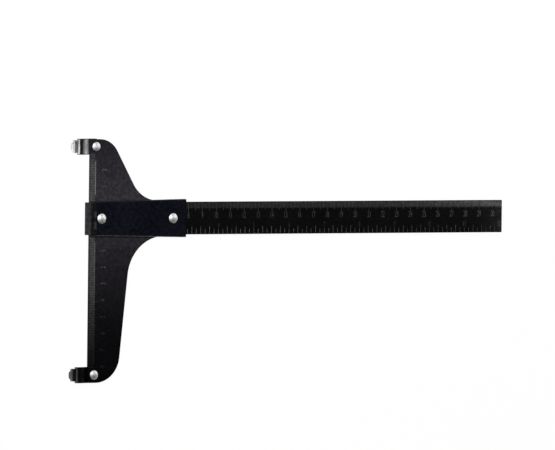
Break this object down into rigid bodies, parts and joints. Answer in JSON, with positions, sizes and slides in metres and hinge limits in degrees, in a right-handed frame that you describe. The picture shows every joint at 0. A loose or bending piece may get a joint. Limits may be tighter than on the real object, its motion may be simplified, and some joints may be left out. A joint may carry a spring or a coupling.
{
  "type": "archery bow square",
  "caption": "T-shaped rule for archery: a winged head plate with two spring clips for the bowstring and a long graduated blade held by a folded sleeve.",
  "frame": {"origin": "zero of both rules: on the middle of the string as the seats hold it, level with the middle of the blade", "axes": "+X along the blade away from the string, +Y up the string along the short arm, +Z out of the printed face"},
  "size_m": [0.3106, 0.1476, 0.0059],
  "materials": {
    "head_black": "black anodised, satin",
    "blade_black": "black anodised, satin",
    "sleeve_black": "gloss black enamel on sheet steel",
    "spring_steel": "dark spring steel, polished",
    "rivet": "bright, drawn dome"
  },
  "bodies": {
    "root": {"head_plate": "head_black", "blade": "blade_black", "sleeve": "sleeve_black", "upper_clip": "spring_steel", "lower_clip": "spring_steel", "upper_clip_rivet": "rivet", "lower_clip_rivet": "rivet", "sleeve_rivet_near": "rivet", "sleeve_rivet_far": "rivet"}
  },
  "joints": []
}
